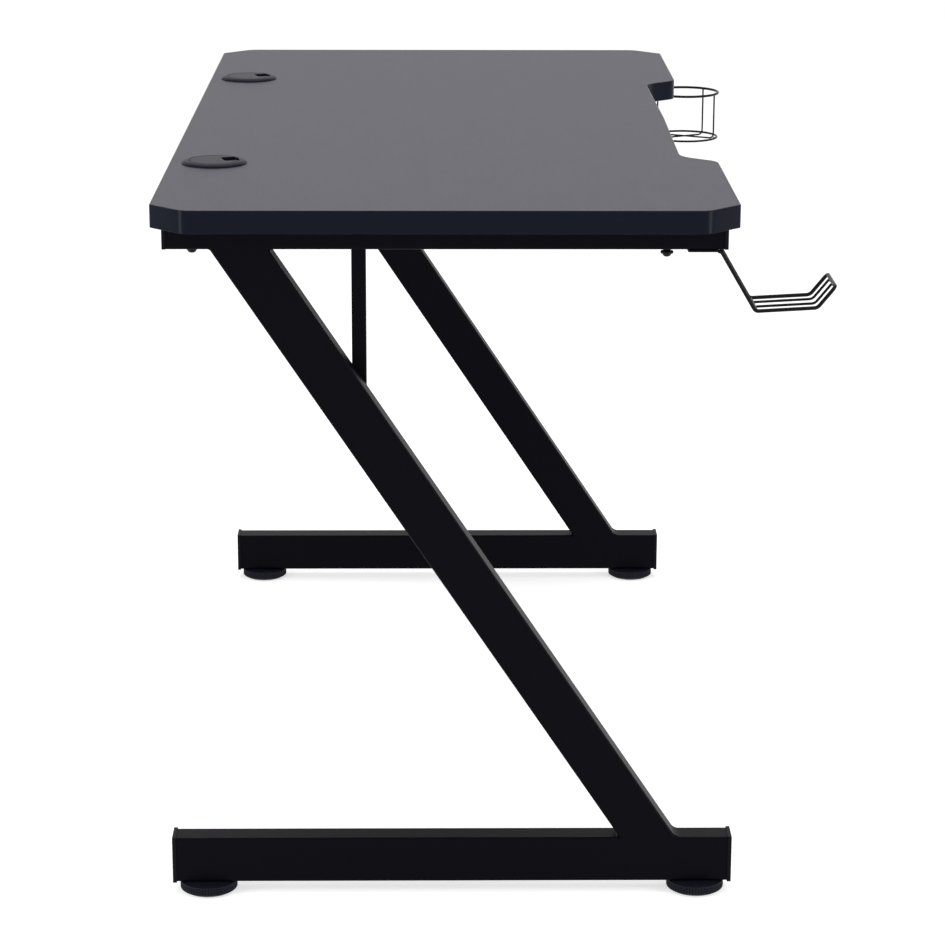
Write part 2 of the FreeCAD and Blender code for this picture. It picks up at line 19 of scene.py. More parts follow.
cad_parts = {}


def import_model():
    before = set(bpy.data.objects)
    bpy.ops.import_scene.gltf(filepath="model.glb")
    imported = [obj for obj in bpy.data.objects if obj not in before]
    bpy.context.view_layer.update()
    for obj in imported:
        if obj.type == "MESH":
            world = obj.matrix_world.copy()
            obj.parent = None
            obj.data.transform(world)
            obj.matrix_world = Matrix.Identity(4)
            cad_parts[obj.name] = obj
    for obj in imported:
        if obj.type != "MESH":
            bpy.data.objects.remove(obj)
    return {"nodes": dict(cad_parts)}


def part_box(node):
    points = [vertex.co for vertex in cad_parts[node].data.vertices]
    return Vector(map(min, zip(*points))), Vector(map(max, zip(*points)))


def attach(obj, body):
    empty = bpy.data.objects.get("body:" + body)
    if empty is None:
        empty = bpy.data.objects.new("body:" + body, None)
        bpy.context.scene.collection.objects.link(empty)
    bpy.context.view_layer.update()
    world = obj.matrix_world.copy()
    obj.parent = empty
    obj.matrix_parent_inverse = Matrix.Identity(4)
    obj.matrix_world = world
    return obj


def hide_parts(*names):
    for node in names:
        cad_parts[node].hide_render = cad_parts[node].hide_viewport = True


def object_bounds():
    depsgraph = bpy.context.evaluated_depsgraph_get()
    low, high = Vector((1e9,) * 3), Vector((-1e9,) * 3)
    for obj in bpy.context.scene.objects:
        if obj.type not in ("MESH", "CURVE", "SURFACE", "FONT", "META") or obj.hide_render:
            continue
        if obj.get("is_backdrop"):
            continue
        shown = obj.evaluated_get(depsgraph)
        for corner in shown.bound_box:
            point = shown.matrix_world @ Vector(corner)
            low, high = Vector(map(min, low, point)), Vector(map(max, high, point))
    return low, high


LOG = logging.getLogger("desk")
MM = 0.001
SEED = 7
SHARP_ANGLE = math.radians(40)

Nodes = dict[str, bpy.types.Object]
Rgba = tuple[float, float, float, float]
Profile = list[tuple[float, float]]
Shares = tuple[tuple[float, float], ...]

# Sockets of Mix and Random Value nodes that share a name with others, so that only a number finds them.
MIX_SHARE = 0
MIX_NUMBER_A = 2
MIX_NUMBER_B = 3
MIX_NUMBER = 0
MIX_COLOUR_A = 6
MIX_COLOUR_B = 7
MIX_COLOUR = 2
RANDOM_LEAST = 2
RANDOM_MOST = 3
RANDOM_NUMBER = 1


class Side(Enum):
    """The two ends of the desk, as its user sees them."""

    LEFT = "left"
    RIGHT = "right"


class Place(Enum):
    """The two ends of a bar: the user's side and the wall side."""

    FRONT = "front"
    REAR = "rear"


class Slot(Enum):
    """Material slots of the record."""

    EDGE = "edge_band"
    FRAME = "frame_steel"
    WIRE = "wire_steel"
    FASTENER = "fastener"
    GROMMET = "grommet_plastic"
    STUD = "stud_steel"


class Drive(Enum):
    """Shapes of the driver recess in a screw head."""

    CROSS = "cross"
    HEXAGON = "hexagon"


def srgb(code: str) -> Rgba:
    """Turn a written sRGB colour into the linear colour that shaders take.

    Args:
        code: Six hex digits after a hash sign.

    Returns:
        Linear red, green, blue and a full alpha.
    """
    channels = [int(code[start:start + 2], 16) / 255 for start in (1, 3, 5)]
    linear = [c / 12.92 if c <= 0.04045 else ((c + 0.055) / 1.055) ** 2.4 for c in channels]
    return (linear[0], linear[1], linear[2], 1.0)


def add_node(
    tree: bpy.types.NodeTree, kind: str, inputs: dict[int | str, object] | None = None, **settings: object
) -> bpy.types.Node:
    """Add a node to a tree with its settings, and set or link its inputs.

    Args:
        tree: Shader or geometry node tree.
        kind: Blender's type name of the node.
        inputs: Socket name or number, to a value or to the output socket that feeds it.
        settings: Properties of the node itself.

    Returns:
        The new node.
    """
    node = tree.nodes.new(kind)
    for name, value in settings.items():
        setattr(node, name, value)
    for key, value in (inputs or {}).items():
        if isinstance(value, bpy.types.NodeSocket):
            tree.links.new(value, node.inputs[key])
        else:
            node.inputs[key].default_value = value
    return node


def mesh_object(name: str, mesh: bpy.types.Mesh) -> bpy.types.Object:
    """Link a mesh into the scene as an object at the origin.

    Args:
        name: Name of the new object.
        mesh: Its mesh.

    Returns:
        The new object.
    """
    piece = bpy.data.objects.new(name, mesh)
    bpy.context.scene.collection.objects.link(piece)
    return piece


def dress(piece: bpy.types.Object, material: bpy.types.Material) -> None:
    """Give a whole object one material.

    Args:
        piece: CAD node or new piece.
        material: The material that replaces what it had.
    """
    piece.data.materials.clear()
    piece.data.materials.append(material)


def soften(mesh: bpy.types.Mesh) -> None:
    """Shade a mesh smooth between its sharp edges.

    Args:
        mesh: Mesh of a new piece.
    """
    mesh.shade_smooth()
    mesh.set_sharp_from_angle(angle=SHARP_ANGLE)


def points_near(node: bpy.types.Object, axis: int, level: float, reach: float) -> list[Vector]:
    """Vertices of a node that lie close to a level on one axis.

    Args:
        node: CAD node, whose vertices are in the row frame.
        axis: 0, 1 or 2 for X, Y or Z.
        level: Coordinate on that axis in metres.
        reach: How far from the level a vertex may lie.

    Returns:
        Copies of those vertices.
    """
    return [v.co.copy() for v in node.data.vertices if abs(v.co[axis] - level) < reach]


@dataclass(frozen=True)
class Finish:
    """A real surface as a procedural material: one pattern of real size drives tone, gloss and relief."""

    name: str
    dark: str
    light: str
    grain: float
    relief: float
    roughness: float
    roughness_swing: float
    metallic: float = 0.0
    specular: float = 0.5
    detail: float = 3.0
    stretch: tuple[float, float, float] = (1.0, 1.0, 1.0)

    def place(self, tree: bpy.types.NodeTree) -> bpy.types.NodeSocket:
        """Object coordinates in metres, stretched the way the pattern runs.

        Args:
            tree: The material's node tree.

        Returns:
            The vector output.
        """
        coordinates = add_node(tree, "ShaderNodeTexCoord")
        inputs = {0: coordinates.outputs["Object"], 1: self.stretch}
        return add_node(tree, "ShaderNodeVectorMath", inputs, operation="MULTIPLY").outputs["Vector"]

    def pattern(self, tree: bpy.types.NodeTree) -> bpy.types.NodeSocket:
        """Plain noise of the finish's grain size, from 0 to 1."""
        inputs = {"Vector": self.place(tree), "Scale": 1 / self.grain, "Detail": self.detail}
        return add_node(tree, "ShaderNodeTexNoise", inputs).outputs["Fac"]

    def build(self) -> bpy.types.Material:
        """Make the material.

        Returns:
            A material with a Principled shader, ready to be given to objects.
        """
        material = bpy.data.materials.new(self.name)
        material.use_nodes = True
        tree = material.node_tree
        tree.nodes.clear()
        pattern = self.pattern(tree)
        tones = {MIX_COLOUR_A: srgb(self.dark), MIX_COLOUR_B: srgb(self.light)}
        tone = add_node(tree, "ShaderNodeMix", {MIX_SHARE: pattern, **tones}, data_type="RGBA")
        gloss_inputs = {
            "Value": pattern,
            "To Min": self.roughness - self.roughness_swing,
            "To Max": self.roughness + self.roughness_swing,
        }
        gloss = add_node(tree, "ShaderNodeMapRange", gloss_inputs)
        bump = add_node(tree, "ShaderNodeBump", {"Height": pattern, "Distance": self.relief})
        shader_inputs = {
            "Base Color": tone.outputs[MIX_COLOUR],
            "Roughness": gloss.outputs["Result"],
            "Normal": bump.outputs["Normal"],
            "Metallic": self.metallic,
            "Specular IOR Level": self.specular,
        }
        shader = add_node(tree, "ShaderNodeBsdfPrincipled", shader_inputs)
        add_node(tree, "ShaderNodeOutputMaterial", {"Surface": shader.outputs["BSDF"]})
        return material


@dataclass(frozen=True)
class LaminateFinish(Finish):
    """Pressed laminate film: fine flecks over broad, faint clouds of tone."""

    cloud: float = 30 * MM
    cloud_share: float = 0.35

    def pattern(self, tree: bpy.types.NodeTree) -> bpy.types.NodeSocket:
        """Flecks of the grain size, mixed with broad clouds.

        Args:
            tree: The material's node tree.

        Returns:
            The mixed noise, from 0 to 1.
        """
        fleck = super().pattern(tree)
        inputs = {"Vector": self.place(tree), "Scale": 1 / self.cloud}
        cloud = add_node(tree, "ShaderNodeTexNoise", inputs).outputs["Fac"]
        inputs = {MIX_SHARE: self.cloud_share, MIX_NUMBER_A: fleck, MIX_NUMBER_B: cloud}
        return add_node(tree, "ShaderNodeMix", inputs, data_type="FLOAT").outputs[MIX_NUMBER]


@dataclass(frozen=True)
class GrainedFinish(Finish):
    """Moulded plastic: the cells that a spark-eroded mould leaves in the skin."""

    def pattern(self, tree: bpy.types.NodeTree) -> bpy.types.NodeSocket:
        """Rounded cells of the grain size: the distance to a cell's centre, about 0 to 1."""
        inputs = {"Vector": self.place(tree), "Scale": 1 / self.grain}
        return add_node(tree, "ShaderNodeTexVoronoi", inputs, feature="SMOOTH_F1").outputs["Distance"]


# Laminate film on particle board: matte, with a grey sheen at a low angle; its flecks, drawn coarser
# than the real 2 mm and longer along the desk, read as a faint grain.
LAMINATE = LaminateFinish(
    "laminate_film",
    dark="#242230",
    light="#54525e",
    grain=3.5 * MM,
    relief=0.02 * MM,
    roughness=0.5,
    roughness_swing=0.05,
    specular=0.22,
    stretch=(0.35, 1.0, 1.0),
)
# Extruded ABS edging: satin and blue-black, with faint lines along its length that stretch the highlights.
EDGING = Finish(
    "abs_edging",
    dark="#111520",
    light="#161a27",
    grain=1.5 * MM,
    relief=0.01 * MM,
    roughness=0.22,
    roughness_swing=0.03,
    specular=0.055,
    stretch=(0.03, 0.03, 1.0),
)
# Matte black powder coat on steel tube: the orange peel, drawn coarser than the real 1 mm,
# breaks reflections softly.
POWDER = Finish(
    "powder_coated_steel",
    dark="#06050b",
    light="#0a080f",
    grain=1.8 * MM,
    relief=0.03 * MM,
    roughness=0.42,
    roughness_swing=0.05,
    specular=0.045,
    detail=1.0,
)
# Coated wire: the dip coat runs smooth and glossier than powder coat, so round wires get a thin highlight.
DIPPED = Finish(
    "coated_wire",
    dark="#0b0b0e",
    light="#111114",
    grain=5.0 * MM,
    relief=0.01 * MM,
    roughness=0.3,
    roughness_swing=0.05,
    specular=0.1,
    detail=1.0,
)
# Moulded polypropylene of the feet: a fine skin grain that keeps it duller than the steel.
FOOT_PLASTIC = GrainedFinish(
    "moulded_foot_plastic",
    dark="#11121b",
    light="#191a26",
    grain=1.2 * MM,
    relief=0.02 * MM,
    roughness=0.45,
    roughness_swing=0.06,
    specular=0.14,
)
# Moulded polyethylene of the end caps: as black as the tubes, with a waxy, even gloss.
CAP_PLASTIC = GrainedFinish(
    "moulded_cap_plastic",
    dark="#0b0b10",
    light="#111117",
    grain=1.2 * MM,
    relief=0.02 * MM,
    roughness=0.45,
    roughness_swing=0.06,
    specular=0.07,
)
# Grommet ABS: black, with nearly the board's sheen at a low angle.
GROMMET_ABS = GrainedFinish(
    "grommet_plastic",
    dark="#161521",
    light="#1d1c29",
    grain=1.2 * MM,
    relief=0.02 * MM,
    roughness=0.42,
    roughness_swing=0.05,
    specular=0.075,
)
# Black oxide on steel: dark metal with soft, broken reflections.
BLACK_OXIDE = Finish(
    "black_oxide_steel",
    dark="#121316",
    light="#1c1d21",
    grain=1.0 * MM,
    relief=0.01 * MM,
    roughness=0.4,
    roughness_swing=0.08,
    metallic=0.9,
)
# Zinc plate on steel: bright metal, clouded by the passivation.
ZINC = Finish(
    "zinc_plated_steel",
    dark="#a8abb0",
    light="#c2c5c9",
    grain=2.0 * MM,
    relief=0.01 * MM,
    roughness=0.32,
    roughness_swing=0.08,
    metallic=1.0,
)


class GeometryTree:
    """A geometry node tree with named inputs, which turns a small guide mesh into a plain detailed one."""

    def __init__(self, name: str, inputs: dict[str, str]) -> None:
        """Make the tree and its inputs; a Material input is always there.

        Args:
            name: Name of the node tree.
            inputs: Name of each further input, to its socket type.
        """
        self.tree = bpy.data.node_groups.new(name, "GeometryNodeTree")
        self.identifiers: dict[str, str] = {}
        face = self.tree.interface
        face.new_socket(name="Geometry", in_out="INPUT", socket_type="NodeSocketGeometry")
        for label, kind in {**inputs, "Material": "NodeSocketMaterial"}.items():
            socket = face.new_socket(name=label, in_out="INPUT", socket_type=kind)
            self.identifiers[label] = socket.identifier
        face.new_socket(name="Geometry", in_out="OUTPUT", socket_type="NodeSocketGeometry")
        self.source = self.node("NodeGroupInput").outputs

    def node(
        self, kind: str, inputs: dict[int | str, object] | None = None, **settings: object
    ) -> bpy.types.Node:
        """Add a node to this tree."""
        return add_node(self.tree, kind, inputs, **settings)

    def end(self, geometry: bpy.types.NodeSocket) -> None:
        """Close the tree: instances become real, smooth and coated.

        Args:
            geometry: The output that holds the instances.
        """
        real = self.node("GeometryNodeRealizeInstances", {"Geometry": geometry})
        smooth = self.node("GeometryNodeSetShadeSmooth", {"Geometry": real.outputs["Geometry"]})
        inputs = {"Geometry": smooth.outputs["Geometry"], "Material": self.source["Material"]}
        coated = self.node("GeometryNodeSetMaterial", inputs)
        self.node("NodeGroupOutput", {"Geometry": coated.outputs["Geometry"]})

    def bake(self, name: str, guide: bpy.types.Mesh, values: dict[str, object]) -> bpy.types.Object:
        """Run the tree once on a guide mesh.

        Args:
            name: Name of the finished piece.
            guide: Points or edges that the tree works on.
            values: Input name, to its value.

        Returns:
            An object with a plain mesh and no modifier.
        """
        piece = mesh_object(name, guide)
        modifier = piece.modifiers.new(self.tree.name, "NODES")
        modifier.node_group = self.tree
        for label, value in values.items():
            modifier[self.identifiers[label]] = value
        graph = bpy.context.evaluated_depsgraph_get()
        plain = bpy.data.meshes.new_from_object(piece.evaluated_get(graph))
        piece.modifiers.remove(modifier)
        piece.data = plain
        bpy.data.meshes.remove(guide)
        return piece


@dataclass(frozen=True)
class Lump:
    """A coarse ball of weld metal, whose size at each place is a random share of the stated radius."""

    segments: int
    rings: int
    least: float
    most: float

    def scatter(self, forge: GeometryTree, points: bpy.types.NodeSocket) -> GeometryTree:
        """Put a lump at each point and close the tree.

        Args:
            forge: Tree with the inputs Radius and Seed.
            points: The output that holds the points.

        Returns:
            The same tree.
        """
        inputs = {"Segments": self.segments, "Rings": self.rings, "Radius": forge.source["Radius"]}
        ball = forge.node("GeometryNodeMeshUVSphere", inputs)
        inputs = {RANDOM_LEAST: self.least, RANDOM_MOST: self.most, "Seed": forge.source["Seed"]}
        scale = forge.node("FunctionNodeRandomValue", inputs, data_type="FLOAT")
        inputs = {
            "Points": points,
            "Instance": ball.outputs["Mesh"],
            "Scale": scale.outputs[RANDOM_NUMBER],
        }
        lumps = forge.node("GeometryNodeInstanceOnPoints", inputs)
        forge.end(lumps.outputs["Instances"])
        return forge


RIPPLE = Lump(segments=10, rings=6, least=0.85, most=1.12)
SPOT = Lump(segments=8, rings=5, least=0.8, most=1.15)


def bead_tree() -> GeometryTree:
    """Weld beads: overlapping ripples along guide edges.

    Returns:
        A tree with the inputs Radius and Pitch in metres, and Seed.
    """
    kinds = {"Radius": "NodeSocketFloat", "Pitch": "NodeSocketFloat", "Seed": "NodeSocketInt"}
    forge = GeometryTree("weld_bead", kinds)
    path = forge.node("GeometryNodeMeshToCurve", {"Mesh": forge.source["Geometry"]})
    inputs = {"Curve": path.outputs["Curve"], "Length": forge.source["Pitch"]}
    stations = forge.node("GeometryNodeResampleCurve", inputs, mode="LENGTH")
    return RIPPLE.scatter(forge, stations.outputs["Curve"])


def blob_tree() -> GeometryTree:
    """Spot welds: a small rounded blob at each guide point.

    Returns:
        A tree with the input Radius in metres, and Seed.
    """
    forge = GeometryTree("spot_weld", {"Radius": "NodeSocketFloat", "Seed": "NodeSocketInt"})
    return SPOT.scatter(forge, forge.source["Geometry"])


def screw_tree() -> GeometryTree:
    """Screws at guide points: each looks along the point's axis, turned at random as a driver leaves it.

    Returns:
        A tree with the input Screw, the object to repeat, and Seed.
    """
    forge = GeometryTree("screws", {"Screw": "NodeSocketObject", "Seed": "NodeSocketInt"})
    screw = forge.node("GeometryNodeObjectInfo", {"Object": forge.source["Screw"]})
    axis = forge.node("GeometryNodeInputNamedAttribute", {"Name": "axis"}, data_type="FLOAT_VECTOR")
    along = axis.outputs["Attribute"]
    aimed = forge.node("FunctionNodeAlignRotationToVector", {"Vector": along}, axis="Z")
    inputs = {RANDOM_LEAST: 0.0, RANDOM_MOST: 2 * math.pi, "Seed": forge.source["Seed"]}
    angle = forge.node("FunctionNodeRandomValue", inputs, data_type="FLOAT").outputs[RANDOM_NUMBER]
    spin = forge.node("FunctionNodeAxisAngleToRotation", {"Axis": along, "Angle": angle})
    inputs = {"Rotation": aimed.outputs["Rotation"], "Rotate By": spin.outputs["Rotation"]}
    turned = forge.node("FunctionNodeRotateRotation", inputs, rotation_space="GLOBAL")
    inputs = {
        "Points": forge.source["Geometry"],
        "Instance": screw.outputs["Geometry"],
        "Rotation": turned.outputs["Rotation"],
    }
    screws = forge.node("GeometryNodeInstanceOnPoints", inputs)
    forge.end(screws.outputs["Instances"])
    return forge


# A stud's thread: radius of its ridge as a share of the pitch, sides of the ridge's section, and straight
# pieces in a turn.
RIDGE_SHARE = 0.52
RIDGE_SIDES = 4
TURN_STEPS = 18


def thread_tree() -> GeometryTree:
    """A threaded stud at each guide point: a core and a right-hand ridge that winds up it.

    Returns:
        A tree with the inputs Diameter, Pitch and Length in metres, and Turns.
    """
    kinds = {name: "NodeSocketFloat" for name in ("Diameter", "Pitch", "Length", "Turns")}
    forge = GeometryTree("stud_thread", kinds)
    inputs = {0: forge.source["Pitch"], 1: RIDGE_SHARE}
    ridge = forge.node("ShaderNodeMath", inputs, operation="MULTIPLY")
    half = forge.node("ShaderNodeMath", {0: forge.source["Diameter"], 1: 0.5}, operation="MULTIPLY")
    inputs = {0: half.outputs[0], 1: ridge.outputs[0]}
    root = forge.node("ShaderNodeMath", inputs, operation="SUBTRACT")
    inputs = {
        "Resolution": TURN_STEPS,
        "Rotations": forge.source["Turns"],
        "Start Radius": root.outputs[0],
        "End Radius": root.outputs[0],
        "Height": forge.source["Length"],
        "Reverse": True,
    }
    helix = forge.node("GeometryNodeCurveSpiral", inputs)
    upright = forge.node("GeometryNodeSetCurveNormal", {"Curve": helix.outputs["Curve"]}, mode="Z_UP")
    inputs = {"Resolution": RIDGE_SIDES, "Radius": ridge.outputs[0]}
    profile = forge.node("GeometryNodeCurvePrimitiveCircle", inputs)
    inputs = {
        "Curve": upright.outputs["Curve"],
        "Profile Curve": profile.outputs["Curve"],
        "Fill Caps": True,
    }
    winding = forge.node("GeometryNodeCurveToMesh", inputs)
    inputs = {"Vertices": TURN_STEPS, "Radius": root.outputs[0], "Depth": forge.source["Length"]}
    core = forge.node("GeometryNodeMeshCylinder", inputs)
    middle = forge.node("ShaderNodeMath", {0: forge.source["Length"], 1: 0.5}, operation="MULTIPLY")
    lift = forge.node("ShaderNodeCombineXYZ", {"Z": middle.outputs[0]})
    inputs = {"Geometry": core.outputs["Mesh"], "Translation": lift.outputs["Vector"]}
    raised = forge.node("GeometryNodeTransform", inputs)
    joined = forge.node("GeometryNodeJoinGeometry", {"Geometry": winding.outputs["Mesh"]})
    forge.tree.links.new(raised.outputs["Geometry"], joined.inputs["Geometry"])
    inputs = {"Points": forge.source["Geometry"], "Instance": joined.outputs["Geometry"]}
    studs = forge.node("GeometryNodeInstanceOnPoints", inputs)
    forge.end(studs.outputs["Instances"])
    return forge


def guide_points(name: str, points: list[Vector], axes: list[Vector] | None = None) -> bpy.types.Mesh:
    """Loose points for a geometry tree.

    Args:
        name: Name of the mesh.
        points: Where the pieces go, in the row frame.
        axes: Direction that belongs to each point, if the tree needs one.

    Returns:
        A mesh of loose vertices, with the attribute axis if axes are given.
    """
    mesh = bpy.data.meshes.new(name)
    mesh.from_pydata(points, [], [])
    if axes:
        attribute = mesh.attributes.new("axis", "FLOAT_VECTOR", "POINT")
        for entry, axis in zip(attribute.data, axes):
            entry.vector = axis
    return mesh


def guide_lines(name: str, lines: list[tuple[Vector, Vector]]) -> bpy.types.Mesh:
    """Separate straight edges for a geometry tree.

    Args:
        name: Name of the mesh.
        lines: Start and end of each edge, in the row frame.

    Returns:
        A mesh of loose edges.
    """
    points = [point for line in lines for point in line]
    edges = [(2 * index, 2 * index + 1) for index in range(len(lines))]
    mesh = bpy.data.meshes.new(name)
    mesh.from_pydata(points, edges, [])
    return mesh


def add_prism(shape: bmesh.types.BMesh, section: list[Vector], run: Vector) -> None:
    """Add a closed prism to a shape.

    Args:
        shape: The mesh under work.
        section: Its end outline, in order.
        run: From that end to the other.
    """
    near = [shape.verts.new(point) for point in section]
    far = [shape.verts.new(point + run) for point in section]
    shape.faces.new(near)
    shape.faces.new(far[::-1])
    for index in range(len(section)):
        shape.faces.new((near[index - 1], far[index - 1], far[index], near[index]))


def cove(corner: Vector, first: Vector, second: Vector, reach: float, steps: int = 6) -> list[Vector]:
    """Section of a weld in an inner corner: a hollow arc that meets two faces.

    Args:
        corner: Where the two faces meet.
        first: Unit direction along one face.
        second: Unit direction along the other.
        reach: How far along each face the arc begins.
        steps: Straight pieces of the arc.

    Returns:
        The corner, then the points of the arc.
    """
    half = first.angle(second) / 2
    centre = corner + (first + second).normalized() * (reach / math.cos(half))
    start = corner + first * reach - centre
    stop = corner + second * reach - centre
    axis = start.cross(stop).normalized()
    step = start.angle(stop) / steps
    turns = [Matrix.Rotation(step * index, 3, axis) for index in range(steps + 1)]
    return [corner] + [centre + turn @ start for turn in turns]


def turn_profile(profile: Profile, steps: int, merge: float) -> bmesh.types.BMesh:
    """Turn a profile about Z into a closed shape.

    Args:
        profile: Radius and height of its corners, in order.
        steps: Straight pieces in a full turn.
        merge: Distance within which points become one.

    Returns:
        The mesh under work.
    """
    shape = bmesh.new()
    corners = [shape.verts.new((radius, 0, height)) for radius, height in profile]
    edges = [shape.edges.new(pair) for pair in zip(corners, corners[1:])]
    spin = {"geom": corners + edges, "cent": (0, 0, 0), "axis": (0, 0, 1), "angle": 2 * math.pi}
    bmesh.ops.spin(shape, **spin, steps=steps, use_merge=True, use_duplicate=False)
    bmesh.ops.remove_doubles(shape, verts=shape.verts, dist=merge)
    return shape


def close_shape(shape: bmesh.types.BMesh, name: str) -> bpy.types.Object:
    """Turn a shape's faces outward and close it into an object.

    Args:
        shape: The mesh under work, which is freed.
        name: Name of the new object.

    Returns:
        The new object.
    """
    bmesh.ops.recalc_face_normals(shape, faces=shape.faces)
    mesh = bpy.data.meshes.new(name)
    shape.to_mesh(mesh)
    shape.free()
    return mesh_object(name, mesh)


@dataclass
class Worktop:
    """The board and its edge band; the band's sharp CAD edges are eased as a trimmer leaves them."""

    nodes: Nodes
    ease: float = 0.7 * MM
    ease_steps: int = 2
    merge: float = 0.01 * MM
    flat_angle: float = math.radians(0.5)

    def build(self) -> None:
        """Dress the board and put an eased band in the CAD band's place."""
        dress(self.nodes["tabletop"], LAMINATE.build())
        band = self.eased_band()
        dress(band, EDGING.build())
        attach(band, "desk")
        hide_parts("edge_band")

    def eased_band(self) -> bpy.types.Object:
        """Merge a copy of the CAD band and ease its long edges.

        Returns:
            The new band, with a live bevel.
        """
        shape = bmesh.new()
        shape.from_mesh(self.nodes["edge_band"].data)
        bmesh.ops.remove_doubles(shape, verts=shape.verts, dist=self.merge)
        bmesh.ops.dissolve_limit(shape, angle_limit=self.flat_angle, verts=shape.verts, edges=shape.edges)
        band = close_shape(shape, "edge_band_eased")
        soften(band.data)
        bevel = band.modifiers.new("eased_edges", "BEVEL")
        bevel.width = self.ease
        bevel.segments = self.ease_steps
        bevel.limit_method = "ANGLE"
        bevel.angle_limit = SHARP_ANGLE
        bevel.harden_normals = True
        return band


@dataclass
class SteelFrame:
    """The two Z frames and the cross brace: powder-coated tube, with hollow welds at the legs' ends."""

    nodes: Nodes
    tube_round: float = 2.5 * MM
    foot_weld: float = 6.0 * MM
    top_weld: float = 2.5 * MM
    inner_weld: float = 4.0 * MM
    bead_radius: float = 1.8 * MM
    bead_pitch: float = 1.5 * MM
    bead_margin: float = 2.0 * MM
    level_reach: float = 0.5 * MM

    def build(self) -> None:
        """Dress the tubes and lay the welds."""
        coat = POWDER.build()
        names = ["brace_beam"]
        for side in Side:
            names += [f"{side.value}_{part}" for part in ("top_bar", "leg", "floor_bar", "brace_upright")]
        for name in names:
            dress(self.nodes[name], coat)
        legs = self.leg_welds()
        dress(legs, coat)
        self.keep(legs)
        lines = guide_lines("brace_weld_lines", self.brace_lines())
        values = {"Radius": self.bead_radius, "Pitch": self.bead_pitch, "Seed": SEED, "Material": coat}
        self.keep(bead_tree().bake("brace_welds", lines, values))

    def keep(self, welds: bpy.types.Object) -> None:
        """Let a set of welds ride on the desk."""
        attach(welds, "desk")

    def leg_welds(self) -> bpy.types.Object:
        """Weld both ends of both legs to the bars.

        Returns:
            One mesh of all these welds.
        """
        shape = bmesh.new()
        for side in Side:
            leg = self.nodes[f"{side.value}_leg"]
            low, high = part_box(leg.name)
            foot = self.span(leg, low.z)
            top = self.span(leg, high.z)
            slope = Vector((0, sum(top) - sum(foot), 2 * (high.z - low.z))).normalized()
            self.weld_end(shape, (low, high), foot, low.z, slope, (self.foot_weld, self.inner_weld))
            self.weld_end(shape, (low, high), top, high.z, -slope, (self.inner_weld, self.top_weld))
        welds = close_shape(shape, "leg_welds")
        soften(welds.data)
        return welds

    def span(self, leg: bpy.types.Object, level: float) -> tuple[float, float]:
        """Least and greatest Y of a leg's CAD node at the height of one of its ends."""
        ys = [point.y for point in points_near(leg, 2, level, self.level_reach)]
        return min(ys), max(ys)

    def weld_end(
        self,
        shape: bmesh.types.BMesh,
        box: tuple[Vector, Vector],
        span: tuple[float, float],
        level: float,
        slope: Vector,
        reaches: tuple[float, float],
    ) -> None:
        """Add the welds round one end of a leg: hollow at its front and rear, ground flush at its sides.

        Args:
            shape: The mesh under work.
            box: The leg's box.
            span: Front and rear of the leg at this end.
            level: Height of the bar's face.
            slope: From this end along the leg.
            reaches: How far the front and the rear weld reach along the bar.
        """
        low, high = box
        width = Vector((high.x - low.x - 2 * self.tube_round, 0, 0))
        for y, way, reach in zip(span, (-1, 1), reaches):
            corner = Vector((low.x + self.tube_round, y, level))
            add_prism(shape, cove(corner, Vector((0, way, 0)), slope, reach), width)
        length = Vector((0, span[1] - span[0], 0))
        into_bar = Vector((0, 0, -math.copysign(1, slope.z)))
        for x, inward in ((low.x, 1), (high.x, -1)):
            corner = Vector((x, span[0], level))
            add_prism(shape, cove(corner, into_bar, Vector((inward, 0, 0)), self.tube_round), length)

    def brace_lines(self) -> list[tuple[Vector, Vector]]:
        """Lines under the beam's ends, where it is welded to the uprights.

        Returns:
            Start and end of each line.
        """
        low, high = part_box("brace_beam")
        lines = []
        for x in (low.x, high.x):
            start = Vector((x, low.y + self.bead_margin, low.z))
            end = Vector((x, high.y - self.bead_margin, low.z))
            lines.append((start, end))
        return lines


